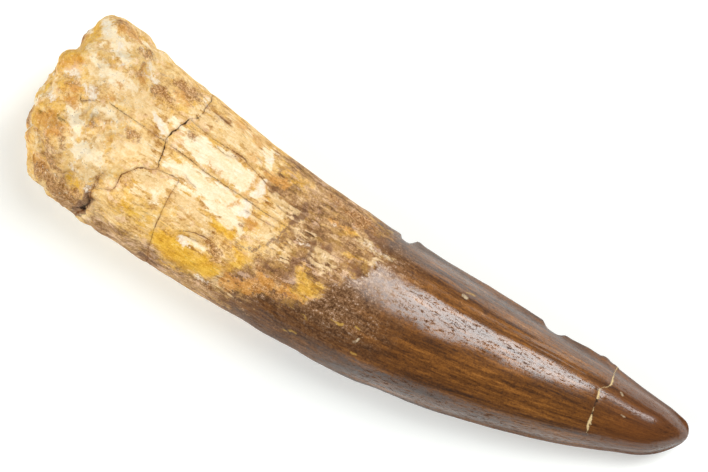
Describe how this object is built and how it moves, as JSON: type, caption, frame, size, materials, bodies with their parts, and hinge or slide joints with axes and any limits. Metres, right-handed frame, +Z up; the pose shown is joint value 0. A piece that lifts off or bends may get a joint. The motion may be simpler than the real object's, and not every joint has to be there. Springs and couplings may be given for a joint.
{
  "type": "spinosaurus tooth",
  "caption": "Fossil spinosaurus tooth lying on its side: a long, slightly recurved cone with a glossy brown crown and a broken, weathered tan root.",
  "frame": {"origin": "middle of the bounding box, on the surface the tooth lies on", "axes": "+X from the broken root to the tip, +Y towards the concave edge, +Z up from the surface the tooth lies on"},
  "size_m": [0.1106, 0.0304, 0.025],
  "materials": {
    "fossil_tooth": "polished fossil enamel on the crown, dull porous dentine on the root"
  },
  "bodies": {
    "root": {"tooth": "fossil_tooth"}
  },
  "joints": []
}
